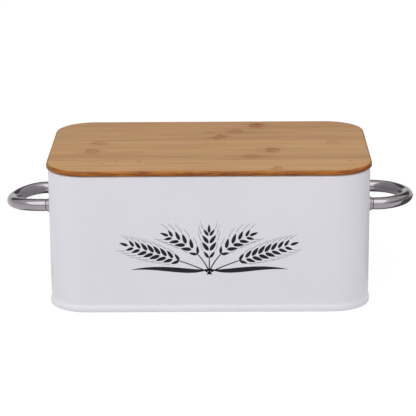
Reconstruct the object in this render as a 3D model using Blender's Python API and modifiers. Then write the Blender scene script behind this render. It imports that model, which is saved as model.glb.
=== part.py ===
# Bread box: a painted sheet-steel tub with a bamboo board for a lid and two bowed tube handles.
# Lengths are in metres. The long side lies along X, the front faces -Y, +Z is up, and the
# origin is on the floor under the middle of the tub.

import bpy
import bmesh
from math import cos, pi, radians, sin
from mathutils import Vector

# Tub wall: one band of sheet steel
tub_length = 0.3266
tub_depth = 0.2003
tub_height = 0.1427
tub_corner_radius = 0.0386
sheet_thickness = 0.0008

# Rim: the sheet's top edge is rolled inwards into a round safe edge
rim_roll_radius = 0.0018
rim_roll_turn = radians(270)
rim_steps = 9

# Base bead: the wall swells out, turns under and ends in a flat hem that carries the pan
bead_proud = 0.0012
bead_top = 0.0072
bead_full = 0.0030
bead_foot_radius = 0.0014
hem_width = 0.0050
bead_steps = 4

# Lap seam: the band's two ends overlap in a strip down the middle of the back
seam_width = 0.0070
seam_end_gap = 0.0030
seam_edge_bevel = 0.0003

# Floor pan: stands on the hem inside the wall, with a dished middle field
pan_clearance = 0.0004
pan_floor_height = 0.0062
pan_bend_radius = 0.0016
pan_border_width = 0.0110
pan_step_run = 0.0030
pan_field_drop = 0.0012
pan_bend_steps = 3

# Lid: a solid board with a rebated plug that drops inside the rolled rim
lid_overhang = 0.0017
lid_lip_thickness = 0.0055
lid_plug_depth = 0.0060
lid_plug_clearance = 0.0010
lid_top_arris = 0.0012
lid_lower_arris = 0.0006
lid_arris_steps = 3

# Handles: each is a half-inch tube bent to a bow; the left bow sags towards its tip
handle_height = 0.0940
handle_spacing = 0.0660
handle_reach = 0.0426
handle_straight = 0.0030
left_bow_sag = 0.0038
tube_radius = 0.00635
tube_wall = 0.0010
leg_pull_share = 0.56
tip_pull_share = 0.42
bow_steps = 14
tube_side_resolution = 5

# Pads: the side wall is pressed outwards round each foot
pad_radius = 0.0112
pad_land_radius = 0.0076
pad_proud = 0.0012
pad_edge_dip = 0.0001
pad_steps = 4
pad_segments = 24

# Ferrule: the flared collar between the end of the tube and the pad
ferrule_length = 0.0040
ferrule_step = 0.0002
ferrule_flare = 0.0009
ferrule_foot_height = 0.0012
ferrule_chamfer = 0.0003
ferrule_segments = 24

# Threaded plug: a nut pressed in the end of the tube, short enough to clear the tube's bend
plug_length = 0.0060
plug_clearance = 0.0006
plug_segments = 16

# Screw and washer: they hold each foot from inside the tub
screw_radius = 0.0020
screw_length = 0.0120
screw_tip_chamfer = 0.0005
screw_head_radius = 0.0040
screw_head_height = 0.0026
screw_head_edge_share = 0.45
screw_head_steps = 4
screw_segments = 16
washer_radius = 0.0050
washer_thickness = 0.0008

# Fits: what touches on the real object keeps the seat gap here
seat_gap = 0.0003
screw_clearance = 0.0003
cut_overrun = 0.0020
merge_distance = 0.00001
corner_steps = 8

steel_white = (0.66, 0.65, 0.71)
bamboo_tan = (0.46, 0.26, 0.13)
gunmetal_grey = (0.33, 0.31, 0.33)
zinc_grey = (0.52, 0.52, 0.53)


def new_collection(name):
    collection = bpy.data.collections.new(name)
    bpy.context.scene.collection.children.link(collection)
    return collection


def make_material(name, colour, roughness, metallic):
    material = bpy.data.materials.new(name)
    material.use_nodes = True
    shader = material.node_tree.nodes["Principled BSDF"]
    shader.inputs["Base Color"].default_value = (*colour, 1)
    shader.inputs["Roughness"].default_value = roughness
    shader.inputs["Metallic"].default_value = metallic
    return material


def add_object(name, data, collection, material=None):
    piece = bpy.data.objects.new(name, data)
    collection.objects.link(piece)
    if material:
        data.materials.append(material)
    return piece


def add_cutter(piece):
    piece.hide_render = True
    piece.display_type = "WIRE"


def add_boolean(piece, operation, other):
    modifier = piece.modifiers.new(operation.title() + " " + other.name, "BOOLEAN")
    modifier.operation = operation
    modifier.object = other


def add_wall(piece, thickness):
    # Gives an open surface a wall on its inner side.
    modifier = piece.modifiers.new("Wall", "SOLIDIFY")
    modifier.thickness = thickness
    modifier.offset = -1
    modifier.use_even_offset = True


def outline_points(length, depth, radius, height):
    # A rounded rectangle round the Z axis, anticlockwise from the right front corner.
    points = []
    corners = ((1, -1), (1, 1), (-1, 1), (-1, -1))
    for turn, (side_x, side_y) in enumerate(corners):
        centre_x = side_x * (length / 2 - radius)
        centre_y = side_y * (depth / 2 - radius)
        for step in range(corner_steps + 1):
            angle = (turn - 1 + step / corner_steps) * pi / 2
            points.append((centre_x + radius * cos(angle), centre_y + radius * sin(angle), height))
    return points


def loft_outlines(name, profile, length, depth, radius, cap_first, cap_last):
    # Carries a profile of (inset, height) points round a rounded rectangle: one ring for each
    # point, joined to the next ring by a band of quads.
    shape = bmesh.new()
    rings = []
    for inset, height in profile:
        points = outline_points(length - 2 * inset, depth - 2 * inset, radius - inset, height)
        rings.append([shape.verts.new(point) for point in points])
    for first, second in zip(rings, rings[1:]):
        for i in range(len(first)):
            shape.faces.new((first[i - 1], first[i], second[i], second[i - 1]))
    if cap_first:
        shape.faces.new(rings[0])
    if cap_last:
        shape.faces.new(rings[-1])
    bmesh.ops.recalc_face_normals(shape, faces=shape.faces)
    mesh = bpy.data.meshes.new(name)
    shape.to_mesh(mesh)
    shape.free()
    mesh.shade_smooth()
    mesh.set_sharp_from_angle(angle=radians(40))
    return mesh


def turn_profile(name, profile, segments, closed, collection, material=None):
    # Turns (radius, height) points about the piece's own Z axis, outer side from top to bottom.
    count = len(profile)
    edges = [(i, i + 1) for i in range(count - 1)]
    if closed:
        edges.append((count - 1, 0))
    mesh = bpy.data.meshes.new(name)
    mesh.from_pydata([(radius, 0, height) for radius, height in profile], edges, [])
    piece = add_object(name, mesh, collection, material)
    screw = piece.modifiers.new("Turn", "SCREW")
    screw.steps = segments
    screw.render_steps = segments
    screw.use_merge_vertices = True
    screw.merge_threshold = merge_distance
    screw.use_smooth_shade = True
    return piece


def place_on_foot(piece, foot, height):
    piece.parent = foot
    piece.location = (0, 0, height)


def tub_profile():
    # Outer face of the sheet, from the tucked end of the rim roll down to the end of the hem.
    points = []
    for step in range(rim_steps + 1):
        angle = rim_roll_turn * (1 - step / rim_steps)
        inset = rim_roll_radius * (1 - cos(angle))
        points.append((inset, tub_height - rim_roll_radius * (1 - sin(angle))))
    for step in range(bead_steps + 1):
        share = step / bead_steps
        swell = bead_proud * (1 - cos(pi * share)) / 2
        points.append((-swell, bead_top + (bead_full - bead_top) * share))
    for step in range(bead_steps + 1):
        angle = step / bead_steps * pi / 2
        inset = bead_foot_radius * (1 - cos(angle)) - bead_proud
        points.append((inset, bead_foot_radius * (1 - sin(angle))))
    points.append((hem_width, 0))
    return points


def pad_curve(offset):
    # The S-shaped side of a pad, from its land down to the wall, moved along its axis by offset.
    points = []
    for step in range(pad_steps + 1):
        share = step / pad_steps
        radius = pad_land_radius + (pad_radius - pad_land_radius) * share
        rise = pad_proud - (pad_proud + pad_edge_dip) * (1 - cos(pi * share)) / 2
        points.append((radius, rise - pad_proud + offset))
    return points


def make_pad_dome(foot_name, cutters):
    # Metal that is pressed out of the wall; its land is the foot's own zero height.
    root = -pad_proud - sheet_thickness / 2
    profile = [(0, 0)] + pad_curve(0) + [(pad_radius, root), (0, root)]
    return turn_profile(foot_name + "_pad_dome", profile, pad_segments, False, cutters)


def make_pad_hollow(foot_name, cutters):
    # The same pressing seen from inside the tub, with the screw's hole through its land. It is
    # turned by half a segment, so that none of its edges lies on an edge of the dome.
    hole_radius = screw_radius + screw_clearance
    inner = -pad_proud - sheet_thickness - cut_overrun
    profile = [(0, cut_overrun), (hole_radius, cut_overrun), (hole_radius, -sheet_thickness)]
    profile += pad_curve(-sheet_thickness) + [(pad_radius, inner), (0, inner)]
    hollow = turn_profile(foot_name + "_pad_hollow", profile, pad_segments, False, cutters)
    hollow.rotation_euler = (0, 0, pi / pad_segments)
    return hollow


def make_back_seam(cutters):
    # The lapped strip stands one sheet proud of the back wall, between the bead and the roll.
    bottom = bead_top + seam_end_gap
    top = tub_height - 2 * rim_roll_radius - seam_end_gap
    size = (seam_width, sheet_thickness * 3 / 2, top - bottom)
    centre = (0, tub_depth / 2 + sheet_thickness / 4, (bottom + top) / 2)
    bpy.ops.mesh.primitive_cube_add(size=1, location=centre, scale=size)
    seam = bpy.context.object
    seam.name = "back_seam_strip"
    bpy.ops.object.transform_apply(location=False, rotation=False, scale=True)
    for collection in list(seam.users_collection):
        collection.objects.unlink(seam)
    cutters.objects.link(seam)
    bevel = seam.modifiers.new("Rounded edge", "BEVEL")
    bevel.width = seam_edge_bevel
    bevel.segments = 2
    return seam


def make_tub(parts, cutters, material, feet):
    mesh = loft_outlines(
        "tub_shell", tub_profile(), tub_length, tub_depth, tub_corner_radius, False, False)
    tub = add_object("tub_shell", mesh, parts, material)
    add_wall(tub, sheet_thickness)
    seam = make_back_seam(cutters)
    add_cutter(seam)
    add_boolean(tub, "UNION", seam)
    for foot in feet:
        dome = make_pad_dome(foot.name, cutters)
        hollow = make_pad_hollow(foot.name, cutters)
        for cutter, operation in ((dome, "UNION"), (hollow, "DIFFERENCE")):
            place_on_foot(cutter, foot, 0)
            add_cutter(cutter)
            add_boolean(tub, operation, cutter)
    return tub


def make_floor_pan(parts, material):
    # Flange up from the hem, bent over into the floor, then a step down to the dished field.
    edge = sheet_thickness + pan_clearance
    points = [(edge, sheet_thickness + seat_gap)]
    for step in range(pan_bend_steps + 1):
        angle = step / pan_bend_steps * pi / 2
        inset = edge + pan_bend_radius * (1 - cos(angle))
        points.append((inset, pan_floor_height - pan_bend_radius * (1 - sin(angle))))
    border = edge + pan_border_width
    points.append((border, pan_floor_height))
    points.append((border + pan_step_run, pan_floor_height - pan_field_drop))
    mesh = loft_outlines("floor_pan", points, tub_length, tub_depth, tub_corner_radius, False, True)
    pan = add_object("floor_pan", mesh, parts, material)
    add_wall(pan, sheet_thickness)
    return pan


def make_lid(parts, material):
    under = tub_height + seat_gap
    top = under + lid_lip_thickness
    plug_inset = lid_overhang + 2 * rim_roll_radius + lid_plug_clearance
    points = [
        (plug_inset + lid_lower_arris, under - lid_plug_depth),
        (plug_inset, under - lid_plug_depth + lid_lower_arris),
        (plug_inset, under),
        (lid_lower_arris, under),
        (0, under + lid_lower_arris),
    ]
    for step in range(lid_arris_steps + 1):
        angle = step / lid_arris_steps * pi / 2
        inset = lid_top_arris * (1 - cos(angle))
        points.append((inset, top - lid_top_arris * (1 - sin(angle))))
    length = tub_length + 2 * lid_overhang
    depth = tub_depth + 2 * lid_overhang
    radius = tub_corner_radius + lid_overhang
    mesh = loft_outlines("lid_board", points, length, depth, radius, True, True)
    return add_object("lid_board", mesh, parts, material)


def make_handle(name, turn, sag, parts, material):
    # A hollow tube on a Bezier curve of five knots: an end and a bend of each straight leg, and
    # the tip of the bow. Its two legs leave squarely, and it crosses its tip squarely.
    tube_start = ferrule_length + 2 * seat_gap
    bow_start = tube_start + handle_straight
    half_spacing = handle_spacing / 2
    leg_pull = (handle_reach - bow_start) * leg_pull_share
    tip_pull = half_spacing * tip_pull_share
    first_end = Vector((tube_start, -half_spacing, 0))
    first_bend = Vector((bow_start, -half_spacing, 0))
    tip = Vector((handle_reach, 0, -sag))
    last_bend = Vector((bow_start, half_spacing, 0))
    last_end = Vector((tube_start, half_spacing, 0))
    outward = Vector((leg_pull, 0, 0))
    across = Vector((0, tip_pull, 0))
    # Each knot with the ends of its two pulls; a leg between two vector pulls is straight.
    knots = [
        (first_end, "VECTOR", first_end, "VECTOR", first_bend),
        (first_bend, "VECTOR", first_end, "FREE", first_bend + outward),
        (tip, "FREE", tip - across, "FREE", tip + across),
        (last_bend, "FREE", last_bend + outward, "VECTOR", last_end),
        (last_end, "VECTOR", last_bend, "VECTOR", last_end),
    ]
    curve = bpy.data.curves.new(name, "CURVE")
    curve.dimensions = "3D"
    curve.resolution_u = bow_steps
    curve.bevel_depth = tube_radius
    curve.bevel_resolution = tube_side_resolution
    curve.use_fill_caps = False
    spline = curve.splines.new("BEZIER")
    spline.bezier_points.add(len(knots) - 1)
    for knot, (place, left_kind, left, right_kind, right) in zip(spline.bezier_points, knots):
        knot.co = place
        knot.handle_left_type = left_kind
        knot.handle_right_type = right_kind
        knot.handle_left = left
        knot.handle_right = right
    spline.use_smooth = True
    handle = add_object(name, curve, parts, material)
    side = 1 if turn == 0 else -1
    handle.location = (side * (tub_length / 2 + pad_proud), 0, handle_height)
    handle.rotation_euler = (0, 0, turn)
    add_wall(handle, tube_wall)
    return handle


def make_ferrule(name, foot, parts, material):
    bore = screw_radius + screw_clearance
    top_radius = tube_radius + ferrule_step
    foot_radius = top_radius + ferrule_flare
    waist = (ferrule_length + ferrule_foot_height) / 2
    profile = [
        (bore, ferrule_length),
        (top_radius - ferrule_chamfer, ferrule_length),
        (top_radius, ferrule_length - ferrule_chamfer),
        (top_radius, waist),
        (foot_radius, ferrule_foot_height),
        (foot_radius, 0),
        (bore, 0),
    ]
    ferrule = turn_profile(name, profile, ferrule_segments, True, parts, material)
    place_on_foot(ferrule, foot, seat_gap)


def make_plug(name, foot, parts, material):
    outer = tube_radius - tube_wall - plug_clearance
    bore = screw_radius + screw_clearance
    profile = [(bore, plug_length), (outer, plug_length), (outer, 0), (bore, 0)]
    plug = turn_profile(name, profile, plug_segments, True, parts, material)
    place_on_foot(plug, foot, ferrule_length + 2 * seat_gap)


def make_washer(name, foot, parts, material):
    bore = screw_radius + screw_clearance
    profile = [(bore, washer_thickness), (washer_radius, washer_thickness), (washer_radius, 0), (bore, 0)]
    washer = turn_profile(name, profile, screw_segments, True, parts, material)
    place_on_foot(washer, foot, -sheet_thickness - seat_gap - washer_thickness)


def make_screw(name, foot, parts, material):
    # Pan-head screw: the shank runs out along the foot's axis, the head stands inside the tub.
    head_edge = screw_head_height * screw_head_edge_share
    profile = [
        (0, screw_length),
        (screw_radius - screw_tip_chamfer, screw_length),
        (screw_radius, screw_length - screw_tip_chamfer),
        (screw_radius, 0),
    ]
    for step in range(screw_head_steps + 1):
        angle = step / screw_head_steps * pi / 2
        height = -head_edge - (screw_head_height - head_edge) * sin(angle)
        radius = screw_head_radius * cos(angle)
        if step == 0:
            profile.append((radius, 0))
        profile.append((radius if step < screw_head_steps else 0, height))
    screw = turn_profile(name, profile, screw_segments, False, parts, material)
    place_on_foot(screw, foot, -sheet_thickness - 2 * seat_gap - washer_thickness)


def add_feet(parts):
    # One empty for each foot, on its pad's land, with its Z axis pointing out of the tub.
    feet = []
    for side_name, side in (("left", -1), ("right", 1)):
        for end_name, end in (("front", -1), ("back", 1)):
            foot = bpy.data.objects.new(side_name + "_" + end_name, None)
            parts.objects.link(foot)
            foot.location = (side * (tub_length / 2 + pad_proud), end * handle_spacing / 2, handle_height)
            foot.rotation_euler = (0, side * pi / 2, 0)
            feet.append(foot)
    return feet


def build():
    for piece in list(bpy.data.objects):
        bpy.data.objects.remove(piece)
    parts = new_collection("bread_box")
    cutters = new_collection("cutters")
    paint = make_material("painted_steel", steel_white, 0.45, 0)
    bamboo = make_material("bamboo", bamboo_tan, 0.5, 0)
    gunmetal = make_material("gunmetal", gunmetal_grey, 0.16, 1)
    zinc = make_material("zinc", zinc_grey, 0.35, 1)
    feet = add_feet(parts)
    bpy.context.view_layer.update()
    make_tub(parts, cutters, paint, feet)
    make_floor_pan(parts, paint)
    make_lid(parts, bamboo)
    make_handle("left_handle_tube", pi, left_bow_sag, parts, gunmetal)
    make_handle("right_handle_tube", 0, 0, parts, gunmetal)
    for foot in feet:
        make_ferrule(foot.name + "_ferrule", foot, parts, gunmetal)
        make_plug(foot.name + "_threaded_plug", foot, parts, zinc)
        make_washer(foot.name + "_washer", foot, parts, zinc)
        make_screw(foot.name + "_screw", foot, parts, zinc)


build()
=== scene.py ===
from math import pi, radians

import bpy
import bmesh
import numpy as np
from mathutils import Matrix, Vector


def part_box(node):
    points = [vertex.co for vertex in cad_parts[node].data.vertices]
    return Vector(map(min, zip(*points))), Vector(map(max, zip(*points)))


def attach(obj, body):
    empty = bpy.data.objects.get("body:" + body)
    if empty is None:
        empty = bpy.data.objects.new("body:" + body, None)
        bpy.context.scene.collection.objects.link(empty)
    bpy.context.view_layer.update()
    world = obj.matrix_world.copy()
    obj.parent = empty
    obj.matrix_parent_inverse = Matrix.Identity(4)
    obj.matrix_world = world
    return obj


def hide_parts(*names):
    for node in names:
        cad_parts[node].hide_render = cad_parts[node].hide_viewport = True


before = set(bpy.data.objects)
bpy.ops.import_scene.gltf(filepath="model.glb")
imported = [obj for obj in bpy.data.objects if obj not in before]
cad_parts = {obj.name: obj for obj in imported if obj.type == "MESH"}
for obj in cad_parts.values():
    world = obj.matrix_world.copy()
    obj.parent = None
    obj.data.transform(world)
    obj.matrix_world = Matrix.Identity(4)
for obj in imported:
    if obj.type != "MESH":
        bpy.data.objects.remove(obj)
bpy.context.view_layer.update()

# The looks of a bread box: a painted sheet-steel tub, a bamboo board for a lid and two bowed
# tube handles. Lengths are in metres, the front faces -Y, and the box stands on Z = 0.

tubLow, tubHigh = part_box("tub_shell")
lidLow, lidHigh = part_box("lid_board")
print("frame loaded:", len(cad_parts), "nodes")


# Surfaces

def closedFaces(grid, wrapRows, wrapColumns):
    # Quads between neighbouring points of a grid, turned so that the closed surface faces out:
    # the sum of the signed volumes of all corner-to-origin wedges has to be positive.
    rows, columns = grid.shape[:2]
    index = np.arange(rows * columns).reshape(rows, columns)
    if wrapRows:
        index = np.vstack([index, index[:1]])
    if wrapColumns:
        index = np.hstack([index, index[:, :1]])
    corners = [index[:-1, :-1], index[1:, :-1], index[1:, 1:], index[:-1, 1:]]
    quads = np.stack(corners, -1).reshape(-1, 4)
    a, b, c, d = (grid.reshape(-1, 3)[quads[:, i]] for i in range(4))
    volume = np.sum(a * (np.cross(b, c) + np.cross(c, d)))
    return quads if volume > 0 else quads[:, ::-1]


def placeObject(name, data):
    fresh = bpy.data.objects.new(name, data)
    bpy.context.scene.collection.objects.link(fresh)
    return fresh


def makePiece(name, surfaces, material, body, nodes, sharpDegrees=35):
    # Joins grids of points, each (grid, wrapRows, wrapColumns), into one finished piece. Rows
    # that end in a single point become a pole when the doubles are merged.
    points, faces, count = [], [], 0
    for grid, wrapRows, wrapColumns in surfaces:
        faces.append(closedFaces(grid, wrapRows, wrapColumns) + count)
        points.append(grid.reshape(-1, 3))
        count += grid.shape[0] * grid.shape[1]
    mesh = bpy.data.meshes.new(name)
    mesh.from_pydata(np.vstack(points).tolist(), [], np.vstack(faces).tolist())
    shape = bmesh.new()
    shape.from_mesh(mesh)
    bmesh.ops.remove_doubles(shape, verts=shape.verts, dist=1e-7)
    shape.to_mesh(mesh)
    shape.free()
    mesh.shade_smooth()
    mesh.set_sharp_from_angle(angle=radians(sharpDegrees))
    mesh.materials.append(material)
    piece = placeObject(name, mesh)
    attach(piece, body)
    if nodes:
        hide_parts(*nodes)


def smoothStep(low, high, value):
    # 0 below low, 1 above high, and the cubic 3t^2 - 2t^3 between them.
    share = np.clip((value - low) / (high - low), 0, 1)
    return share * share * (3 - 2 * share)


def stationsAlong(half, step, windows):
    # Places along a straight side from -half to half, one each step, and closer together
    # inside each window (centre, reach, fine step).
    places = [np.linspace(-half, half, int(np.ceil(2 * half / step)) + 1)]
    for centre, reach, fine in windows:
        places.append(np.linspace(centre - reach, centre + reach, int(np.ceil(2 * reach / fine)) + 1))
    places = np.unique(np.round(np.concatenate(places), 6))
    return places[(places >= -half) & (places <= half)]


def roundedOutline(length, depth, radius, cornerSteps, sideStep, longWindows, shortWindows):
    # Anticlockwise walk round a rounded rectangle from the right end of its front side. Each
    # quarter turn is a straight side and then a quarter circle; gives points and outward normals.
    points, normals = [], []
    halfX, halfY = length / 2 - radius, depth / 2 - radius
    for turn in range(4):
        alongX = turn % 2 == 0
        windows = longWindows if alongX else shortWindows
        side = stationsAlong(halfX if alongX else halfY, sideStep, windows)
        away = depth / 2 if alongX else length / 2
        angle = (turn - 1) * pi / 2
        out = np.array([np.cos(angle), np.sin(angle)])
        ahead = np.array([-out[1], out[0]])
        # The windows are given along +X or +Y, so a side that is walked backwards mirrors them.
        walked = side if turn < 2 else -side[::-1]
        points.append(out * away + walked[:, None] * ahead)
        normals.append(np.repeat(out[None], len(walked), 0))
        sweep = angle + np.linspace(0, pi / 2, cornerSteps + 1)[1:-1]
        arc = np.stack([np.cos(sweep), np.sin(sweep)], -1)
        corner = out * (away - radius) + ahead * (halfX if alongX else halfY)
        points.append(corner + radius * arc)
        normals.append(arc)
    return np.vstack(points), np.vstack(normals)


def carryRound(profile, outline):
    # Carries (inset, height, shrink) points round an outline: the outline moved in along its
    # normals by inset, then drawn towards the middle by shrink, where 0 is the middle itself.
    points, normals = outline
    inset, height, shrink = (profile[:, i][None, :, None] for i in range(3))
    flat = (points[:, None] - inset * normals[:, None]) * shrink
    return np.concatenate([flat, np.repeat(height, len(points), 0)], -1)


def closeToMiddle(section, rings):
    # Adds the shrink to (inset, height) points: 1 all along, after rings that grow out of the
    # middle to the first point and before rings that shrink from the last one back to it.
    shares = np.linspace(0, 1, rings + 1)[:-1]
    start = np.column_stack([np.repeat(section[:1], rings, 0), shares])
    end = np.column_stack([np.repeat(section[-1:], rings, 0), shares[::-1]])
    return np.vstack([start, np.column_stack([section, np.ones(len(section))]), end])


def unitTangents(path):
    along = np.gradient(path, axis=0)
    return along / np.linalg.norm(along, axis=1)[:, None]


def lengthsAlong(path):
    # The length walked from the path's start to each of its points.
    return np.concatenate([[0], np.cumsum(np.linalg.norm(np.diff(path, axis=0), axis=1))])


def wallBothSides(path, thickness):
    # A sheet's closed section: its outer face, and the same face moved by the thickness along
    # the path's left-hand normal, walked back.
    along = unitTangents(path)
    inner = path + thickness * np.stack([-along[:, 1], along[:, 0]], -1)
    return np.vstack([path, inner[::-1]])


def turnProfile(profile, foot, segments):
    # Turns (radius, along) points about a foot's axis: the foot's place plus along times the
    # axis plus radius times a circle of directions square to it.
    place, side = foot
    angles = np.linspace(0, 2 * pi, segments, endpoint=False)
    radius, along = profile[:, 0][:, None], profile[:, 1][:, None]
    return footPoints(radius * np.cos(angles), radius * np.sin(angles), along + 0 * angles, place, side)


def footPoints(across, up, along, place, side):
    # Points round a foot's axis, which runs outwards along X on the foot's own side.
    return np.stack([place[0] + side * along, place[1] + across, place[2] + up], -1)


def bezierPath(guides, count):
    # A cubic Bezier curve: its four guide points in binomial shares.
    share = np.linspace(0, 1, count)[:, None]
    a, b, c, d = (np.array(guide, float) for guide in guides)
    rest = 1 - share
    return rest ** 3 * a + 3 * rest ** 2 * share * b + 3 * rest * share ** 2 * c + share ** 3 * d


def arcPoints(centre, radius, startDegrees, endDegrees, count):
    angles = np.radians(np.linspace(startDegrees, endDegrees, count))
    return np.stack([centre[0] + radius * np.cos(angles), centre[1] + radius * np.sin(angles)], -1)


# Shader nodes

def addNode(tree, kind, values=None, **settings):
    # Makes a node; a value that is another node's output is linked, and any other is set.
    fresh = tree.nodes.new(kind)
    for name, value in settings.items():
        setattr(fresh, name, value)
    for key, value in (values or {}).items():
        if isinstance(value, bpy.types.NodeSocket):
            tree.links.new(value, fresh.inputs[key])
        else:
            fresh.inputs[key].default_value = value
    return fresh


def addMath(tree, operation, first, second=0.0, third=0.0, clamp=False):
    return addNode(tree, "ShaderNodeMath", {0: first, 1: second, 2: third},
                   operation=operation, use_clamp=clamp).outputs[0]


def addMix(tree, factor, first, second, blend="MIX"):
    return addNode(tree, "ShaderNodeMix", {0: factor, 6: first, 7: second},
                   data_type="RGBA", blend_type=blend).outputs[2]


def addRange(tree, value, fromLow, fromHigh, toLow, toHigh, smooth=False):
    kind = "SMOOTHSTEP" if smooth else "LINEAR"
    values = {0: value, 1: fromLow, 2: fromHigh, 3: toLow, 4: toHigh}
    return addNode(tree, "ShaderNodeMapRange", values, interpolation_type=kind).outputs[0]


def addNoise(tree, vector, scale, detail=2.0, roughness=0.5):
    values = {"Vector": vector, "Scale": scale, "Detail": detail, "Roughness": roughness}
    return addNode(tree, "ShaderNodeTexNoise", values).outputs[0]


def addStretched(tree, parts, scales, shift=0.0):
    # Three coordinates, each times its own scale, with a shift along the first.
    scaled = [addMath(tree, "MULTIPLY", part, scale) for part, scale in zip(parts, scales)]
    scaled[0] = addMath(tree, "ADD", scaled[0], shift)
    return addNode(tree, "ShaderNodeCombineXYZ", dict(enumerate(scaled))).outputs[0]


def startMaterial(name):
    material = bpy.data.materials.new(name)
    material.use_nodes = True
    tree = material.node_tree
    coordinates = addNode(tree, "ShaderNodeTexCoord").outputs
    return material, tree, tree.nodes["Principled BSDF"], coordinates


def linkShader(tree, shader, colour, roughness, height, heightMetres):
    bump = addNode(tree, "ShaderNodeBump", {"Height": height, "Strength": 1.0, "Distance": heightMetres})
    tree.links.new(colour, shader.inputs["Base Color"])
    tree.links.new(roughness, shader.inputs["Roughness"])
    tree.links.new(bump.outputs[0], shader.inputs["Normal"])


# Finishes

powderCoat = {
    "colour": (0.705, 0.690, 0.742, 1),
    "cloudColour": (0.690, 0.676, 0.728, 1),
    "peelPerMetre": 620,       # ripples of about 1.6 mm
    "cloudPerMetre": 14,
    "sheenPerMetre": 55,
    "peelHeight": 0.000006,
    "roughness": (0.40, 0.47),
}


def makePowderCoat():
    material, tree, shader, coordinates = startMaterial("powder coat")
    place = coordinates["Object"]
    peel = addNoise(tree, place, powderCoat["peelPerMetre"], 2.5)
    cloud = addRange(tree, addNoise(tree, place, powderCoat["cloudPerMetre"], 2), 0.35, 0.65, 0, 1)
    colour = addMix(tree, cloud, powderCoat["colour"], powderCoat["cloudColour"])
    low, high = powderCoat["roughness"]
    sheen = addNoise(tree, place, powderCoat["sheenPerMetre"], 3)
    roughness = addRange(tree, sheen, 0.3, 0.7, low, high)
    linkShader(tree, shader, colour, roughness, peel, powderCoat["peelHeight"])
    return material


bamboo = {
    "stripWidth": 25.5,        # millimetres
    "stripEdge": 17.0,         # where one glue line lies along Y, in millimetres
    # How deep each strip is coloured, from the front strip to the back one
    "stripTones": (0.05, 0.15, 0.80, 0.35, 0.30, 0.72, 0.62, 0.75, 0.80),
    "firstStrip": -5,
    "paleColour": (0.548, 0.318, 0.137, 1),
    "deepColour": (0.428, 0.227, 0.088, 1),
    "rosyColour": (1.013, 0.936, 0.885, 1),
    "oliveColour": (0.978, 0.986, 0.853, 1),
    "streakColour": (0.84, 0.68, 0.55, 1),
    "lineColour": (0.80, 0.66, 0.50, 1),
    "poreColour": (0.86, 0.76, 0.66, 1),
    "knuckleColour": (0.62, 0.26, 0.03, 1),
    # The sawn side's colours. The deep one is the wood's own in patches, and it is also painted shade
    # towards the side's foot
    "edgeGold": (0.47, 0.165, 0.006, 1),
    "edgeDeepAndShade": (0.165, 0.038, 0.002, 1),
    "edgeFoot": 1000 * lidHigh.z - 5.5,
    "edgeTop": 1000 * lidHigh.z - 1.0,
    "specularLevel": 0.30,
    "grainHeight": 0.00003,
    # A knuckle's parts: distances are shares of its half width, shades go from 0 to 1
    "heartReach": 1.15,
    "heartShade": 0.78,
    "archDistance": 0.66,
    "archHalfWidth": 0.28,
    "archShade": 0.62,
    "smearSqueeze": 0.36,      # the smear is an ellipse 1 / 0.36 times as wide
    "smearShade": 0.65,
    "darkest": 0.95,
    "smallKnuckle": 2,         # a knuckle narrower than this is a round speck, not bent
    # Each knuckle: X, Y, half width, half height in millimetres, and strength
    "knuckles": [
        (50, 80, 10, 15, 1.25), (27, 57, 10, 12, 0.68), (0, 50, 8, 8, 0.36), (11, 31, 7, 14, 0.74),
        (-116, 8, 10, 13, 0.55), (-121, -23, 8, 13, 0.75), (129, 6, 10, 13, 0.38),
        (65, -22, 9, 13, 0.98), (44, -47, 11, 12, 0.44), (67, -92, 7, 8, 0.95),
        (-94, -63, 1.4, 3, 0.75), (-71, -63, 1.4, 3, 0.75), (-108, -70, 1.4, 3, 0.55),
        (143, -65, 1.4, 3, 0.65),
    ],
}
knuckleInputs = ("Centre X", "Centre Y", "Half width", "Half height", "Strength")


def makeKnuckleGroup():
    # The mark where a culm's joint crosses a strip: a dark heart under a thin arch that opens
    # towards the front, and a smear along the grain. Each distance is that of an ellipse, 1 on
    # its edge.
    group = bpy.data.node_groups.new("culm knuckle", "ShaderNodeTree")
    for name in ("X", "Y", "Grain", *knuckleInputs):
        group.interface.new_socket(name, in_out="INPUT", socket_type="NodeSocketFloat")
    group.interface.new_socket("Shade", in_out="OUTPUT", socket_type="NodeSocketFloat")
    given = addNode(group, "NodeGroupInput").outputs
    across = addMath(group, "SUBTRACT", given["X"], given["Centre X"])
    across = addMath(group, "DIVIDE", across, given["Half width"])
    along = addMath(group, "SUBTRACT", given["Y"], given["Centre Y"])
    along = addMath(group, "DIVIDE", along, given["Half height"])
    acrossSquare = addMath(group, "POWER", across, 2)
    alongSquare = addMath(group, "POWER", along, 2)
    distance = addMath(group, "SQRT", addMath(group, "ADD", acrossSquare, alongSquare))
    squeezed = addMath(group, "POWER", addMath(group, "MULTIPLY", across, bamboo["smearSqueeze"]), 2)
    smearDistance = addMath(group, "SQRT", addMath(group, "ADD", squeezed, alongSquare))
    heart = addRange(group, distance, 0, bamboo["heartReach"], bamboo["heartShade"], 0, smooth=True)
    heart = addMath(group, "MULTIPLY", heart, addMath(group, "MULTIPLY_ADD", given["Grain"], 0.85, 0.4))
    offArch = addMath(group, "ABSOLUTE", addMath(group, "SUBTRACT", distance, bamboo["archDistance"]))
    arch = addRange(group, offArch, 0, bamboo["archHalfWidth"], bamboo["archShade"], 0, smooth=True)
    arch = addMath(group, "MULTIPLY", arch, addRange(group, along, -0.5, 0.3, 0, 1, smooth=True))
    smear = addRange(group, smearDistance, 0.1, 1.1, bamboo["smearShade"], 0, smooth=True)
    smear = addMath(group, "MULTIPLY", smear, given["Grain"])
    shade = addMath(group, "ADD", addMath(group, "ADD", heart, arch), smear)
    addNode(group, "NodeGroupOutput", {"Shade": addMath(group, "MULTIPLY", shade, given["Strength"])})
    return group


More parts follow.
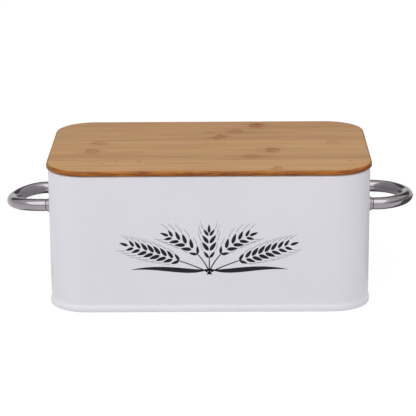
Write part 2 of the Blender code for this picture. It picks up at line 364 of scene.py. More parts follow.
def addKnuckles(tree, parts, streaks):
    # The sum of all the marks' shades, mottled. A noise bends their outlines, and the streaks
    # fray them.
    group = makeKnuckleGroup()
    bend = addNoise(tree, addStretched(tree, parts, (0.13, 0.13, 0.13)), 1, 2, 0.6)
    fray = addMath(tree, "MULTIPLY", addMath(tree, "SUBTRACT", streaks, 0.5), 14)
    frayedX = addMath(tree, "ADD", parts[0], fray)
    bentX = addMath(tree, "ADD", addMath(tree, "MULTIPLY_ADD", bend, 14, -7), frayedX)
    bentY = addMath(tree, "ADD", addMath(tree, "MULTIPLY_ADD", bend, -9, 4.5), parts[1])
    grain = addRange(tree, streaks, 0.42, 0.62, 0, 1)
    mottle = addNoise(tree, addStretched(tree, parts, (0.17, 0.34, 0.34), 5), 1, 3, 0.65)
    shade = 0.0
    for knuckle in bamboo["knuckles"]:
        small = knuckle[2] < bamboo["smallKnuckle"]
        mark = addNode(tree, "ShaderNodeGroup", node_tree=group)
        tree.links.new(parts[0] if small else bentX, mark.inputs["X"])
        tree.links.new(parts[1] if small else bentY, mark.inputs["Y"])
        tree.links.new(grain, mark.inputs["Grain"])
        for name, value in zip(knuckleInputs, knuckle):
            mark.inputs[name].default_value = value
        shade = addMath(tree, "ADD", mark.outputs[0], shade)
    shade = addMath(tree, "MULTIPLY", shade, addRange(tree, mottle, 0.36, 0.62, 0.45, 1.45))
    return addMath(tree, "MINIMUM", shade, bamboo["darkest"])


def addStripTone(tree, strip):
    # Each strip's own depth of colour, read from a stepped ramp.
    tones = bamboo["stripTones"]
    share = addMath(tree, "DIVIDE", addMath(tree, "ADD", strip, 0.5 - bamboo["firstStrip"]), len(tones))
    ramp = addNode(tree, "ShaderNodeValToRGB", {0: share})
    ramp.color_ramp.interpolation = "CONSTANT"
    while len(ramp.color_ramp.elements) < len(tones):
        ramp.color_ramp.elements.new(1)
    for i, tone in enumerate(tones):
        element = ramp.color_ramp.elements[i]
        element.position, element.color = i / len(tones), (tone, tone, tone, 1)
    return ramp.outputs[0]


def addEdgeColour(tree, parts):
    # The sawn side: golden at the top arris and darker towards its foot, which is painted shade, with
    # patches along it that are the wood's own.
    # Painted shade: this ramp in height darkens the side from its top down to its foot
    rise = addRange(tree, parts[2], bamboo["edgeFoot"], bamboo["edgeTop"], 0, 1)
    patches = addNoise(tree, addStretched(tree, parts, (0.038, 0.038, 0.42)), 1, 3, 0.6)
    fibres = addNoise(tree, addStretched(tree, parts, (0.15, 0.15, 3.0)), 1, 3, 0.6)
    blend = addMath(tree, "MULTIPLY_ADD", patches, 2.8, addMath(tree, "MULTIPLY_ADD", rise, 0.50, -1.76))
    blend = addMath(tree, "MULTIPLY_ADD", fibres, 0.8, blend, clamp=True)
    return addMix(tree, blend, bamboo["edgeDeepAndShade"], bamboo["edgeGold"])


def makeBamboo():
    material, tree, shader, coordinates = startMaterial("oiled bamboo")
    millimetres = addNode(tree, "ShaderNodeVectorMath", {0: coordinates["Object"], 3: 1000},
                          operation="SCALE").outputs[0]
    parts = addNode(tree, "ShaderNodeSeparateXYZ", {0: millimetres}).outputs
    normal = addNode(tree, "ShaderNodeSeparateXYZ", {0: coordinates["Normal"]}).outputs
    offset = addMath(tree, "SUBTRACT", parts[1], bamboo["stripEdge"])
    strip = addMath(tree, "FLOOR", addMath(tree, "DIVIDE", offset, bamboo["stripWidth"]))
    shift = addMath(tree, "MULTIPLY", strip, 7.3)
    bands = addNoise(tree, addStretched(tree, parts, (0.008, 0.12, 0.12), shift), 1, 3)
    streaks = addNoise(tree, addStretched(tree, parts, (0.016, 0.9, 0.9), shift), 1, 4, 0.65)
    lines = addNoise(tree, addStretched(tree, parts, (0.009, 0.42, 0.42), shift), 1, 2, 0.5)
    warmth = addNoise(tree, addStretched(tree, parts, (0.020, 0.085, 0.085), 31), 1, 4, 0.6)
    pores = addNoise(tree, addStretched(tree, parts, (0.10, 3.4, 3.4), shift), 1, 2, 0.6)
    tone = addMath(tree, "MULTIPLY", addStripTone(tree, strip), 0.85)
    blend = addMath(tree, "ADD", tone, addRange(tree, bands, 0.3, 0.7, -0.35, 0.35), clamp=True)
    colour = addMix(tree, blend, bamboo["paleColour"], bamboo["deepColour"])
    share = addRange(tree, warmth, 0.40, 0.60, 0, 1)
    hue = addMix(tree, share, bamboo["oliveColour"], bamboo["rosyColour"])
    colour = addMix(tree, 1.0, colour, hue, "MULTIPLY")
    for noise, low, high, most, tint in (
            (streaks, 0.46, 0.72, 0.75, "streakColour"), (lines, 0.58, 0.70, 0.8, "lineColour"),
            (pores, 0.55, 0.72, 0.6, "poreColour")):
        share = addRange(tree, noise, low, high, 0, most)
        colour = addMix(tree, share, colour, bamboo[tint], "MULTIPLY")
    colour = addMix(tree, addKnuckles(tree, parts, streaks), colour, bamboo["knuckleColour"], "MULTIPLY")
    # Where the board's face turns over into its side, the sawn side's colour takes over.
    tilt = addRange(tree, addMath(tree, "ABSOLUTE", normal[2]), 0.999, 0.93, 0, 1)
    colour = addMix(tree, tilt, colour, addEdgeColour(tree, parts))
    height = addMath(tree, "MULTIPLY_ADD", pores, 0.5, streaks)
    roughness = addRange(tree, streaks, 0.3, 0.7, 0.44, 0.58)
    shader.inputs["Specular IOR Level"].default_value = bamboo["specularLevel"]
    linkShader(tree, shader, colour, roughness, height, bamboo["grainHeight"])
    return material


gunmetal = {
    "colour": (0.345, 0.315, 0.338, 1),
    "cloudColour": (0.320, 0.292, 0.314, 1),
    "roughness": (0.13, 0.18),
    "polishHeight": 0.000001,
}
zinc = {
    "colour": (0.60, 0.60, 0.61, 1),
    "cloudColour": (0.50, 0.50, 0.52, 1),
    "roughness": (0.26, 0.40),
    "polishHeight": 0.000004,
}


def makeMetal(name, look, cloudPerMetre, polishPerMetre):
    # Plated metal: faint clouds in the plating and a fine ripple that polishing left.
    material, tree, shader, coordinates = startMaterial(name)
    place = coordinates["Object"]
    clouds = addNoise(tree, place, cloudPerMetre, 3)
    colour = addMix(tree, addRange(tree, clouds, 0.35, 0.65, 0, 1), look["colour"], look["cloudColour"])
    polish = addNoise(tree, place, polishPerMetre, 2)
    low, high = look["roughness"]
    roughness = addRange(tree, polish, 0.3, 0.7, low, high)
    shader.inputs["Metallic"].default_value = 1
    linkShader(tree, shader, colour, roughness, polish, look["polishHeight"])
    return material


ink = {
    "colour": (0.010, 0.009, 0.013, 1),
    "wornColour": (0.016, 0.014, 0.020, 1),
    "roughness": (0.45, 0.58),
    "specularLevel": 0.15,
    "grainHeight": 0.000004,
}


def makeInk():
    material, tree, shader, coordinates = startMaterial("black screen ink")
    place = coordinates["Object"]
    grain = addNoise(tree, place, 900, 2)
    colour = addMix(tree, addRange(tree, grain, 0.4, 0.7, 0, 1), ink["colour"], ink["wornColour"])
    low, high = ink["roughness"]
    roughness = addRange(tree, addNoise(tree, place, 120, 2), 0.3, 0.7, low, high)
    shader.inputs["Specular IOR Level"].default_value = ink["specularLevel"]
    linkShader(tree, shader, colour, roughness, grain, ink["grainHeight"])
    return material


paintFinish = makePowderCoat()
bambooFinish = makeBamboo()
gunmetalFinish = makeMetal("polished gunmetal", gunmetal, 60, 900)
zincFinish = makeMetal("zinc plate", zinc, 350, 2500)
inkFinish = makeInk()
print("finishes made")


# Tub

feet = {}
for sideName, side in (("left", -1), ("right", 1)):
    for endName in ("front", "back"):
        low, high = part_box(f"{sideName}_{endName}_ferrule")
        middle = (low + high) / 2
        feet[f"{sideName}_{endName}"] = (np.array([0, middle.y, middle.z]), side)

tub = {
    "cornerRadius": 0.0386,
    "thickness": 0.0008,
    "rollRadius": 0.0018,
    "beadProud": 0.0012,
    "beadTop": 0.0088,
    "beadFull": 0.0030,
    "beadFootRadius": 0.0010,
    "hemWidth": 0.0050,
    "padLand": 0.0076,
    "padRadius": 0.0112,
    "seamWidth": 0.0070,
    "seamEndGap": 0.0030,
    "seamRound": 0.0003,
    "cornerSteps": 26,
    "wallStep": 0.008,
    "padStep": 0.0007,
    "padMargin": 0.001,        # how far past a pad its fine steps go
    "seamStep": 0.0001,
    "seamReach": 0.0006,       # how far to either side of a seam's edge its fine steps go
}
tub["length"] = tubHigh.x - tubLow.x - 2 * tub["beadProud"]
tub["depth"] = -2 * (tubLow.y + tub["beadProud"])
tub["height"] = tubHigh.z
padPlane = tub["length"] / 2 + tub["beadProud"]      # the pads stand as proud as the bead
footHeight = feet["right_front"][0][2]
footAcross = abs(feet["right_front"][0][1])


def tubSheetPath():
    # Outer face of the sheet as (inset, height): the rim's roll, a plain wall, the bead's
    # cosine swell, its round foot and the flat hem.
    roll = tub["rollRadius"]
    rollArc = arcPoints((roll, tub["height"] - roll), roll, -90, 180, 28)
    middle, fine = tub["height"] / 2, (tub["seamReach"], tub["seamStep"])
    heights = middle + stationsAlong(middle, tub["wallStep"], [
        (footHeight - middle, tub["padRadius"] + tub["padMargin"], tub["padStep"]),
        (tub["beadTop"] + tub["seamEndGap"] - middle, *fine),
        (middle - 2 * roll - tub["seamEndGap"], *fine),
    ])[::-1]
    heights = heights[(heights < tub["height"] - roll) & (heights > tub["beadTop"])]
    wall = np.stack([0 * heights, heights], -1)
    share = np.linspace(0, 1, 13)
    swell = tub["beadProud"] * (1 - np.cos(pi * share)) / 2
    bead = np.stack([-swell, tub["beadTop"] + (tub["beadFull"] - tub["beadTop"]) * share], -1)
    footRadius = tub["beadFootRadius"]
    footArc = arcPoints((footRadius - tub["beadProud"], footRadius), footRadius, 180, 270, 10)
    hem = np.array([[tub["hemWidth"], 0]])
    return np.vstack([rollArc, wall, bead, footArc, hem])


def pressPads(points):
    # Moves the end walls out round each foot: the full height out to the land's radius, then a
    # half cosine down to nothing at the pad's radius.
    across, up = np.abs(points[..., 1]) - footAcross, points[..., 2] - footHeight
    distance = np.hypot(across, up)
    share = np.clip((distance - tub["padLand"]) / (tub["padRadius"] - tub["padLand"]), 0, 1)
    rise = tub["beadProud"] * (1 + np.cos(pi * share)) / 2
    onEnd = np.abs(points[..., 0]) > tub["length"] / 2 - 2 * tub["thickness"]
    points[..., 0] += np.sign(points[..., 0]) * rise * onEnd


def raiseSeam(points):
    # Lifts the lapped strip on the back's outer face by one sheet, with soft edges.
    soft, half = tub["seamRound"], tub["seamWidth"] / 2
    across = 1 - smoothStep(half - soft, half + soft, np.abs(points[..., 0]))
    bottom = tub["beadTop"] + tub["seamEndGap"]
    top = tub["height"] - 2 * tub["rollRadius"] - tub["seamEndGap"]
    up = smoothStep(bottom - soft, bottom + soft, points[..., 2])
    up = up - smoothStep(top - soft, top + soft, points[..., 2])
    onBack = np.abs(points[..., 1] - tub["depth"] / 2) < tub["thickness"] / 4
    points[..., 1] += tub["thickness"] * across * up * onBack


def makeTub():
    path = tubSheetPath()
    section = wallBothSides(path, tub["thickness"])
    profile = np.column_stack([section, np.ones(len(section))])
    padReach = tub["padRadius"] + tub["padMargin"]
    padWindows = [(end * footAcross, padReach, tub["padStep"]) for end in (-1, 1)]
    seamWindows = [(end * tub["seamWidth"] / 2, tub["seamReach"], tub["seamStep"]) for end in (-1, 1)]
    outline = roundedOutline(tub["length"], tub["depth"], tub["cornerRadius"], tub["cornerSteps"],
                             tub["wallStep"], seamWindows, padWindows)
    points = carryRound(profile, outline)
    pressPads(points)
    raiseSeam(points)
    makePiece("tub_band", [(points, True, True)], paintFinish, "tub", ["tub_shell"])


makeTub()
print("tub made")


# Floor pan

pan = {
    "clearance": 0.0004,
    "floorHeight": 0.0062,
    "bendRadius": 0.0016,
    "borderWidth": 0.0110,
    "stepRun": 0.0030,
    "fieldDrop": 0.0012,
    "middleRings": 8,
}


def makeFloorPan():
    # Flange, bend, border, a half-cosine step down and a flat field, whose rings go to the
    # middle. The section starts under the field, goes round the flange and ends on the field.
    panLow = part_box("floor_pan")[0]
    edge = tub["thickness"] + pan["clearance"]
    bend = pan["bendRadius"]
    bendArc = arcPoints((edge + bend, pan["floorHeight"] - bend), bend, 180, 90, 10)
    border = edge + pan["borderWidth"]
    share = np.linspace(0, 1, 12)
    drop = pan["fieldDrop"] * (1 - np.cos(pi * share)) / 2
    step = np.stack([border + pan["stepRun"] * share, pan["floorHeight"] - drop], -1)
    path = np.vstack([[[edge, panLow.z]], bendArc, step])
    section = np.roll(wallBothSides(path, -tub["thickness"]), len(path), axis=0)
    outline = roundedOutline(tub["length"], tub["depth"], tub["cornerRadius"], tub["cornerSteps"],
                             tub["wallStep"], [], [])
    points = carryRound(closeToMiddle(section, pan["middleRings"]), outline)
    makePiece("floor_tray", [(points, True, False)], paintFinish, "tub", ["floor_pan"])


makeFloorPan()
print("floor pan made")


# Lid

lid = {
    "overhang": 0.0017,
    "lipThickness": 0.0053,
    "lipTaper": 0.0005,        # how much thinner the overhang is at its outer edge
    "plugInset": 0.0063,
    "topArrisWidth": 0.0026,
    "topArrisHeight": 0.0018,
    "lowerArris": 0.0006,
    "cornerSteps": 32,
    "sideStep": 0.02,
    "middleRings": 8,
}


def makeLid():
    # A flat board: rings that go to the middle above and below, a quarter ellipse for the top
    # arris, an overhang that thins outwards, and the rebate that leaves the plug underneath.
    low, high = lidLow, lidHigh
    under = high.z - lid["lipThickness"]
    arris = np.array([lid["topArrisWidth"], lid["topArrisHeight"]])
    lowerRound = lid["lowerArris"]
    edge = np.vstack([
        arcPoints((0, 0), 1, 90, 180, 12) * arris + [arris[0], high.z - arris[1]],
        arcPoints((lowerRound, under + lid["lipTaper"] + lowerRound), lowerRound, 180, 257, 6),
        [[lid["overhang"], under], [lid["plugInset"], under]],
        arcPoints((lid["plugInset"] + lowerRound, low.z + lowerRound), lowerRound, 180, 270, 6),
    ])
    outline = roundedOutline(high.x - low.x, high.y - low.y, tub["cornerRadius"] + lid["overhang"],
                             lid["cornerSteps"], lid["sideStep"], [], [])
    points = carryRound(closeToMiddle(edge, lid["middleRings"]), outline)
    makePiece("bamboo_board", [(points, True, False)], bambooFinish, "lid", ["lid_board"])


makeLid()
print("lid made")


# Handles

handle = {
    "tubeRadius": 0.00635,
    "tubeWall": 0.0010,
    "legLength": 0.0030,
    "legPullShare": 0.56,
    "tipPullShare": 0.42,
    "leftSag": 0.0038,
    "endRound": 0.0005,
    "legStations": (0.001, 0.002),
    "halfBowSteps": 70,
    "around": 64,
}


def makeHandle(sideName, side, sag):
    # A round tube carried along a straight leg, two mirrored Bezier halves of a bow and another
    # leg, out along its outer skin and back along its bore, with both ends of the skin rounded
    # by a quarter circle. Only the bow's tip sinks by the sag.
    low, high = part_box(f"{sideName}_handle_tube")
    start = (low.x if side > 0 else -high.x) - padPlane
    reach = (high.x if side > 0 else -low.x) - padPlane - handle["tubeRadius"]
    bowStart = start + handle["legLength"]
    legPull = (reach - bowStart) * handle["legPullShare"]
    tipPull = footAcross * handle["tipPullShare"]
    guides = [(bowStart, -footAcross, 0), (bowStart + legPull, -footAcross, 0),
              (reach, -tipPull, -sag), (reach, 0, -sag)]
    half = bezierPath(guides, handle["halfBowSteps"] + 1)
    soft = handle["endRound"]
    roundPlaces = soft * (1 - np.cos(np.linspace(0, pi / 2, 7)))
    legPlaces = start + np.concatenate([roundPlaces, handle["legStations"]])
    leg = np.stack([legPlaces, 0 * legPlaces - footAcross, 0 * legPlaces], -1)
    half = np.vstack([leg, half])
    path = np.vstack([half, half[-2::-1] * [1, -1, 1]])
    path = path * [side, 1, 1] + [side * padPlane, 0, footHeight]
    tangent = unitTangents(path)
    outward = np.cross(tangent, [0, 0, 1])
    outward /= np.linalg.norm(outward, axis=1)[:, None]
    up = np.cross(outward, tangent)
    turn = np.linspace(0, 2 * pi, handle["around"], endpoint=False)
    ring = outward[:, None] * np.cos(turn)[None, :, None] + up[:, None] * np.sin(turn)[None, :, None]
    length = lengthsAlong(path)
    fromEnd = np.minimum(length, length[-1] - length)
    intoRound = 1 - np.clip(fromEnd / soft, 0, 1)
    skinRadius = handle["tubeRadius"] - soft * (1 - np.sqrt(1 - intoRound ** 2))
    skin = path[:, None] + skinRadius[:, None, None] * ring
    bore = path[:, None] + (handle["tubeRadius"] - handle["tubeWall"]) * ring
    points = np.vstack([skin, bore[::-1]])
    makePiece(f"{sideName}_handle_bow", [(points, True, True)], gunmetalFinish, "tub",
              [f"{sideName}_handle_tube"])


makeHandle("left", -1, handle["leftSag"])
makeHandle("right", 1, 0)
print("handles made")


# Fittings at each foot: flared ferrule, threaded plug, washer and pan-head screw

fitting = {
    "seatGap": 0.0003,
    "boreRadius": 0.0023,
    "ferruleLength": 0.0040,
    "ferruleRadius": 0.00655,
    "ferruleFlare": 0.0009,
    "ferruleFootHeight": 0.0012,
    "edgeRound": 0.0002,
    "ferruleTopRound": 0.0006,
    "plugRadius": 0.00475,
    "plugRibHeight": 0.00045,
    "plugRibs": 24,
    "plugThreadDepth": 0.00022,
    "plugFade": 0.0004,        # how far from either end its ribs and thread fade out
    "washerRadius": 0.0050,
    "screwRadius": 0.0020,
    "threadPitch": 0.0007,
    "threadDepth": 0.00035,
    "threadRunOut": 0.0010,    # how far from the head the thread fades out
    "tipTaper": 0.0012,        # and how far from the tip
    "tipShare": 0.8,
    "headRadius": 0.0040,
    "headHeight": 0.0026,
    "headEdgeShare": 0.45,
    "recessArm": 0.0021,
    "recessHalfWidth": 0.00042,
    "recessDepth": 0.0013,
    "segments": 96,
}


def softSection(corners, rounding):
    # A closed section with each corner eased by four points on a curve as long as the rounding.
    corners = np.array(corners, float)
    before, after = np.roll(corners, 1, 0) - corners, np.roll(corners, -1, 0) - corners
    before /= np.linalg.norm(before, axis=1)[:, None]
    after /= np.linalg.norm(after, axis=1)[:, None]
    weights = np.array([1.0, 0.45, 0.18, 0.0])[:, None, None]
    cut = corners + rounding * (before * weights + after * weights[::-1])
    return np.transpose(cut, (1, 0, 2)).reshape(-1, 2)


def makeFerrule(footName):
    # The collar's side eases from its foot up to its neck with a half cosine.
    foot = feet[footName]
    neck, flare = fitting["ferruleRadius"], fitting["ferruleFlare"]
    top, footTop = fitting["ferruleLength"], fitting["ferruleFootHeight"]
    share = np.linspace(0, 1, 9)
    ease = neck + flare * (1 + np.cos(pi * share)) / 2
    side = np.stack([ease, footTop + (top - footTop) / 2 * share], -1)
    bore, small, soft = fitting["boreRadius"], fitting["edgeRound"], fitting["ferruleTopRound"]
    section = np.vstack([
        [[bore, 0]], [[neck + flare - small, 0]], [[neck + flare, small]], side,
        arcPoints((neck - soft, top - soft), soft, 0, 90, 7), [[bore, top]],
    ]) + [0, padPlane + fitting["seatGap"]]
    surface = (turnProfile(section, foot, fitting["segments"]), True, True)
    makePiece(f"{footName}_collar", [surface], gunmetalFinish, "tub",
              [f"{footName}_ferrule"])


def threadWave(turns):
    # A triangle wave from 0 to 1 and back for each turn.
    return 1 - np.abs(2 * (turns % 1) - 1)


def makePlug(footName):
    # A press-in nut: ribs round its outside, and an inner thread as a helical triangle wave.
    place, side = feet[footName]
    low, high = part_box(f"{footName}_threaded_plug")
    start, end = (low.x, high.x) if side > 0 else (-high.x, -low.x)
    angles = np.linspace(0, 2 * pi, fitting["segments"], endpoint=False)[None]
    along = np.linspace(start, end, 52)[:, None]
    near = fitting["plugFade"]
    fade = smoothStep(start, start + near, along) * (1 - smoothStep(end - near, end, along))
    ribs = fitting["plugRibHeight"] * (1 + np.cos(fitting["plugRibs"] * angles)) / 2
    outer = fitting["plugRadius"] + ribs * fade
    turns = along / fitting["threadPitch"] - angles / (2 * pi)
    inner = fitting["boreRadius"] - fitting["plugThreadDepth"] * threadWave(turns) * fade
    skin, bore = (footPoints(radius * np.cos(angles), radius * np.sin(angles), along + 0 * angles,
                             place, side) for radius in (outer, inner))
    surface = (np.vstack([skin, bore[::-1]]), True, True)
    makePiece(f"{footName}_press_nut", [surface], zincFinish, "tub",
              [f"{footName}_threaded_plug"])


def makeWasher(footName):
    place, side = feet[footName]
    low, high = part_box(f"{footName}_washer")
    start, end = (low.x, high.x) if side > 0 else (-high.x, -low.x)
    bore, outer = fitting["boreRadius"], fitting["washerRadius"]
    corners = [(bore, start), (outer, start), (outer, end), (bore, end)]
    section = softSection(corners, fitting["edgeRound"])
    surface = (turnProfile(section, (place, side), fitting["segments"]), True, True)
    makePiece(f"{footName}_plain_washer", [surface], zincFinish, "tub",
              [f"{footName}_washer"])


def makeScrew(footName):
    # From tip to head: a flat tip, a helical thread as a triangle wave that fades at both ends,
    # and a domed head, an ellipse's quarter, with two crossed bars with soft edges sunk in it.
    place, side = feet[footName]
    low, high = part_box(f"{footName}_screw")
    headEnd, tip = (low.x, high.x) if side > 0 else (-high.x, -low.x)
    under = headEnd + fitting["headHeight"]
    angles = np.linspace(0, 2 * pi, fitting["segments"], endpoint=False)[None]
    core = fitting["screwRadius"] - fitting["threadDepth"]
    shankAlong = np.linspace(tip, under, 120)[:, None]
    turns = shankAlong / fitting["threadPitch"] - angles / (2 * pi)
    fade = smoothStep(under, under + fitting["threadRunOut"], shankAlong)
    fade = fade * (1 - smoothStep(tip - fitting["tipTaper"], tip, shankAlong))
    shankRadius = core + fitting["threadDepth"] * threadWave(turns) * fade
    headRadius = fitting["headRadius"]
    edgeHeight = fitting["headHeight"] * fitting["headEdgeShare"]
    domeTurn = np.linspace(0, pi / 2, 46)[:, None]
    domeRadius = headRadius * np.cos(domeTurn) + 0 * angles
    domeAlong = under - edgeHeight - (fitting["headHeight"] - edgeHeight) * np.sin(domeTurn)
    across, up = domeRadius * np.cos(angles), domeRadius * np.sin(angles)
    arm, half = fitting["recessArm"], fitting["recessHalfWidth"]
    bars = [smoothStep(half * 1.5, half * 0.7, np.abs(a)) * smoothStep(arm, arm * 0.75, np.abs(b))
            for a, b in ((across, up), (up, across))]
    domeAlong = domeAlong + fitting["recessDepth"] * np.maximum(*bars)
    zero, small = 0 * angles, fitting["edgeRound"]
    rows = [
        (zero, tip + zero), (fitting["tipShare"] * core + zero, tip + zero),
        (shankRadius, shankAlong + zero), (headRadius - small + zero, under + zero),
        (headRadius + zero, under - small + zero), (domeRadius, domeAlong),
    ]
    radius, along = (np.vstack(column) for column in zip(*rows))
    points = footPoints(radius * np.cos(angles), radius * np.sin(angles), along, place, side)
    makePiece(f"{footName}_pan_screw", [(points, False, True)], zincFinish, "tub",
              [f"{footName}_screw"])


for footName in feet:
    makeFerrule(footName)
    makePlug(footName)
    makeWasher(footName)
    makeScrew(footName)
print("fittings made")


# Front ornament: a spray of wheat ears in black ink, a generic pattern for a bread box

wheat = {
    "centreHeight": 0.0710,
    "filmThickness": 0.00008,
    "filmSink": 0.00003,
    "grainLength": 0.0108,
    "grainWidth": 0.0037,
    "grainSpreadDegrees": 36,
    "grainSizeShares": (0.80, 0.26),   # the smallest grain, and what the middle ones have more
    "grainOffsetShare": 0.18,          # how far a grain starts from the stalk, in grain widths
    "lastGrainShare": 0.93,
    "tipGrainShares": (0.85, 0.80),    # the tip grain's length and width
    "awnLength": 0.0125,
    "awnWidth": 0.00045,
    "awnStartShare": 1.02,
    "awnBendDegrees": 18,
    "stalkWidth": 0.0011,
    "stalkTaper": (1.2, 0.8),
    "stalkSteps": 240,
    "leafWidth": 0.0050,
    "tieHalfLength": 0.0052,
    "tieHeight": 0.0026,
    "tieBelow": 0.0262,
    # Each ear: four guide points of its stalk (X, Z from the centre), pairs of grains, and the
    # share of the stalk where the grains start
    "ears": [
        (((0, -0.031), (0, -0.013), (0, 0.001), (0, 0.013)), 4, 0.40),
        (((-0.0013, -0.031), (0.006, -0.012), (0.020, 0.002), (0.041, 0.010)), 5, 0.42),
        (((-0.0026, -0.031), (0.016, -0.019), (0.048, -0.011), (0.082, 0.000)), 8, 0.40),
    ],
    "leaf": ((0.003, -0.0262), (0.022, -0.030), (0.050, -0.021), (0.080, -0.026)),
}


def inkRibbon(path, halfWidths):
    # A flat film along a path on the front: four corners for each station, two on the wall and
    # two on the film's face, as wide as the half widths say.
    tangent = unitTangents(path)
    normal = np.stack([-tangent[:, 1], tangent[:, 0]], -1) * halfWidths[:, None]
    wall = -tub["depth"] / 2
    levels = (wall + wheat["filmSink"], wall - wheat["filmThickness"])
    corners = []
    for sign, level in ((1, levels[0]), (1, levels[1]), (-1, levels[1]), (-1, levels[0])):
        across, up = (path + sign * normal).T
        corners.append(np.stack([across, 0 * across + level, up + wheat["centreHeight"]], -1))
    grid = np.stack(corners, 1)
    middle = grid.mean(1, keepdims=True)
    grid[0], grid[-1] = middle[0], middle[-1]
    return grid


def grainRibbon(base, direction, length, width):
    # A grain, wide near its base and drawn to a point: half its width is the sine of pi times
    # the share to the power 0.72, all to the power 0.85.
    share = np.linspace(0, 1, 12)
    path = base + np.outer(share * length, direction)
    return inkRibbon(path, width / 2 * np.sin(pi * share ** 0.72) ** 0.85)


def turned(direction, degrees):
    c, s = np.cos(radians(degrees)), np.sin(radians(degrees))
    return np.array([c * direction[0] - s * direction[1], s * direction[0] + c * direction[1]])


def evenPath(guides, count):
    # The same curve with its points an equal length apart.
    path = bezierPath(guides, 200)
    length = lengthsAlong(path)
    places = np.linspace(0, length[-1], count)
    return np.stack([np.interp(places, length, path[:, 0]), np.interp(places, length, path[:, 1])], -1)


def earRibbons(guides, pairs, startShare):
    # A stalk, pairs of grains along its upper part, the middle ones the largest, each with its
    # awn, and one grain at the tip.
    last, endShare = wheat["stalkSteps"], wheat["lastGrainShare"]
    path = evenPath(guides, last + 1)
    tangent = unitTangents(path)
    stop = int(startShare * last) + 9      # the stalk ends a little inside the first grains
    stalkWidths = np.linspace(*wheat["stalkTaper"], stop) * wheat["stalkWidth"]
    ribbons = [inkRibbon(path[:stop], stalkWidths / 2)]
    least, more = wheat["grainSizeShares"]
    for place in np.linspace(startShare, endShare, pairs):
        i = int(place * last)
        size = least + more * np.sin(pi * ((place - startShare) / (endShare - startShare)) ** 0.8)
        for sign in (-1, 1):
            direction = turned(tangent[i], sign * wheat["grainSpreadDegrees"])
            offset = wheat["grainWidth"] * wheat["grainOffsetShare"]
            base = path[i] + turned(tangent[i], sign * 90) * offset
            length = wheat["grainLength"] * size
            ribbons.append(grainRibbon(base, direction, length, wheat["grainWidth"] * size))
            awnStart = base + direction * length * wheat["awnStartShare"]
            bend = turned(direction, -sign * wheat["awnBendDegrees"])
            reach = wheat["awnLength"] * size
            awn = bezierPath((awnStart, awnStart + direction * reach / 3, awnStart + bend * reach * 0.7,
                              awnStart + bend * reach), 8)
            ribbons.append(inkRibbon(awn, np.linspace(1, 0.3, 8) * wheat["awnWidth"] / 2))
    longShare, wideShare = wheat["tipGrainShares"]
    ribbons.append(grainRibbon(path[-2], tangent[-1], wheat["grainLength"] * longShare,
                               wheat["grainWidth"] * wideShare))
    return ribbons


def makeWheatSpray():
    ribbons = []
    for guides, pairs, startShare in wheat["ears"]:
        ear = earRibbons(guides, pairs, startShare)
        ribbons += ear
        if guides[-1][0] > 0:
            ribbons += [ribbon * [-1, 1, 1] for ribbon in ear]
    leafPath = bezierPath(wheat["leaf"], 40)
    leaf = inkRibbon(leafPath, wheat["leafWidth"] / 2 * np.sin(pi * np.linspace(0, 1, 40) ** 0.8) ** 0.9)
    half, below = wheat["tieHalfLength"], wheat["tieBelow"]
    tiePath = np.linspace([-half, -below], [half, -below], 24)
    tie = inkRibbon(tiePath, wheat["tieHeight"] / 2 * np.sin(pi * np.linspace(0, 1, 24)) ** 0.4)
    ribbons += [leaf, leaf * [-1, 1, 1], tie]
    surfaces = [(ribbon, False, True) for ribbon in ribbons]
    makePiece("wheat_spray_print", surfaces, inkFinish, "tub", [])


makeWheatSpray()
print("front ornament made")


# Stage, lights and camera

stage = {
    "floorHalf": 6.0,
    "floorDrop": 0.0001,
    "floorLit": 0.19,          # the share of the floor's white that is lit, and so can be shaded
    "floorGlow": 0.86,
    "floorBounce": 0.6,        # the grey that the box's own light bounces off
    "worldLight": 0.66,
    # Softboxes: name, place, width, height in metres and watts; each faces the box
    "softboxes": [
        ("key_softbox", (-0.45, -2.25, 2.05), 5.0, 2.6, 59),
        ("left_fill_softbox", (-2.5, 0.0, 0.30), 1.5, 1.2, 7.5),
        ("right_fill_softbox", (2.5, 0.0, 0.30), 1.5, 1.2, 5.0),
    ],
    # Cards that only mirrors see: name, middle, width, height, tilt about X, turn about Z and
    # brightness
    "cards": [
        ("softbox_face_card", (-1.0, -1.41, 2.74), 6.0, 2.0, 28, 0, 2.45),
        ("lower_softbox_card", (-1.0, -2.80, 1.61), 6.0, 1.66, 52.6, 0, 1.9),
        ("front_card", (0, -3.6, 0.33), 9, 0.86, 90, 0, 0.40),
        ("ceiling_card", (0, 1.08, 2.9), 10, 2.56, 0, 0, 0.80),
        ("dark_back_card", (0, 3.0, 2.5), 9, 2.4, 90, 0, 0.10),
        ("pale_back_card", (0, 3.0, 0.65), 9, 1.3, 90, 0, 0.90),
        # A dim card lying on the floor behind the box: a painted shadow of the box on the floor, seen
        # only in the tubes' reflections
        ("floor_shadow_card", (0.6825, 0.315, 0.003), 1.835, 0.67, 0, 0, 0.14),
        ("left_card", (-3.2, -0.4, 0.8), 4.8, 1.6, 90, 90, 0.75),
        ("right_card", (3.2, -0.4, 0.8), 4.8, 1.6, 90, 90, 0.30),
    ],
}
camera = {
    "place": (0.0164, -1.9013, 0.6524),
    "yawDegrees": -0.550,
    "pitchDegrees": 16.758,
    "rollDegrees": -0.434,
    "lens": 163.0,
    "sensor": 36.0,
}


def makeQuad(name, width, height, placing, shaderMaker):
    # A flat rectangle about its middle, turned and placed by a matrix. Its surface is what the
    # given function makes in the material's bare tree.
    mesh = bpy.data.meshes.new(name)
    corners = [(-width / 2, -height / 2), (width / 2, -height / 2),
               (width / 2, height / 2), (-width / 2, height / 2)]
    mesh.from_pydata([placing @ Vector((x, y, 0)) for x, y in corners], [], [(0, 1, 2, 3)])
    material = bpy.data.materials.new(name)
    material.use_nodes = True
    tree = material.node_tree
    tree.nodes.remove(tree.nodes["Principled BSDF"])
    tree.links.new(shaderMaker(tree), tree.nodes["Material Output"].inputs["Surface"])
    mesh.materials.append(material)
    return placeObject(name, mesh)


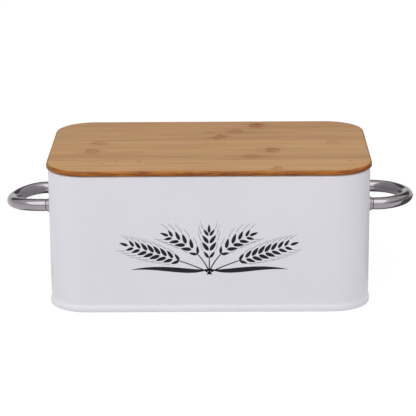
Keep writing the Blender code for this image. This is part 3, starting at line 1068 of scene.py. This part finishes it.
def addGlow(tree, brightness):
    values = {"Color": (1, 1, 1, 1), "Strength": brightness}
    return addNode(tree, "ShaderNodeEmission", values).outputs[0]


def addGrey(tree, grey):
    return addNode(tree, "ShaderNodeBsdfDiffuse", {"Color": (grey, grey, grey, 1)}).outputs[0]


def addSeen(tree):
    # 1 where the camera looks, straight, in a mirror or through glass, and 0 for all other rays
    rays = addNode(tree, "ShaderNodeLightPath").outputs
    seen = addMath(tree, "MAXIMUM", rays["Is Camera Ray"], rays["Is Glossy Ray"])
    return addMath(tree, "MAXIMUM", seen, rays["Is Transmission Ray"])


def addFloorShader(tree):
    # Nearly white by its own glow where it is seen, with a share that is lit and so holds the
    # box's shadow, and a plain grey for the light that it sends back to the box
    lit, glow = addGrey(tree, stage["floorLit"]), addGlow(tree, stage["floorGlow"])
    shown = addNode(tree, "ShaderNodeAddShader", {0: lit, 1: glow}).outputs[0]
    plain = addGrey(tree, stage["floorBounce"])
    return addNode(tree, "ShaderNodeMixShader", {0: addSeen(tree), 1: plain, 2: shown}).outputs[0]


def makeFloor():
    across = 2 * stage["floorHalf"]
    below = Matrix.Translation((0, 0, -stage["floorDrop"]))
    floor = makeQuad("floor", across, across, below, addFloorShader)


def makeWorld():
    world = bpy.data.worlds.new("pale studio")
    world.use_nodes = True
    bpy.context.scene.world = world
    tree = world.node_tree
    strength = addRange(tree, addSeen(tree), 0, 1, stage["worldLight"], 1)
    tree.nodes["Background"].inputs["Color"].default_value = (1, 1, 1, 1)
    tree.links.new(strength, tree.nodes["Background"].inputs["Strength"])


def makeSoftbox(name, place, width, height, power):
    light = bpy.data.lights.new(name, "AREA")
    light.shape = "RECTANGLE"
    light.size, light.size_y = width, height
    light.energy = power
    lamp = placeObject(name, light)
    lamp.location = place
    lamp.rotation_euler = (-lamp.location).to_track_quat("-Z", "Y").to_euler()
    lamp.visible_camera = False
    lamp.visible_glossy = False


def makeCard(name, middle, width, height, tiltDegrees, turnDegrees, brightness):
    # A plain studio card that only mirrors see, so the polished tubes have dark and pale bands.
    tilt = Matrix.Rotation(radians(tiltDegrees), 4, "X")
    placing = Matrix.Translation(middle) @ Matrix.Rotation(radians(turnDegrees), 4, "Z") @ tilt
    card = makeQuad(name, width, height, placing, lambda tree: addGlow(tree, brightness))
    for kind in ("camera", "diffuse", "shadow", "transmission", "volume_scatter"):
        setattr(card, "visible_" + kind, False)


def makeCamera():
    lens = bpy.data.cameras.new("photo camera")
    lens.lens = camera["lens"]
    lens.sensor_width = camera["sensor"]
    eye = placeObject("photo camera", lens)
    turn = Matrix.Rotation(radians(-camera["yawDegrees"]), 4, "Z")
    tilt = Matrix.Rotation(radians(90 - camera["pitchDegrees"]), 4, "X")
    roll = Matrix.Rotation(radians(camera["rollDegrees"]), 4, "Z")
    eye.matrix_world = Matrix.Translation(camera["place"]) @ turn @ tilt @ roll
    bpy.context.scene.camera = eye


makeFloor()
makeWorld()
for softbox in stage["softboxes"]:
    makeSoftbox(*softbox)
for card in stage["cards"]:
    makeCard(*card)
makeCamera()
bpy.context.scene.view_settings.view_transform = "Standard"
print("stage, lights and camera made")
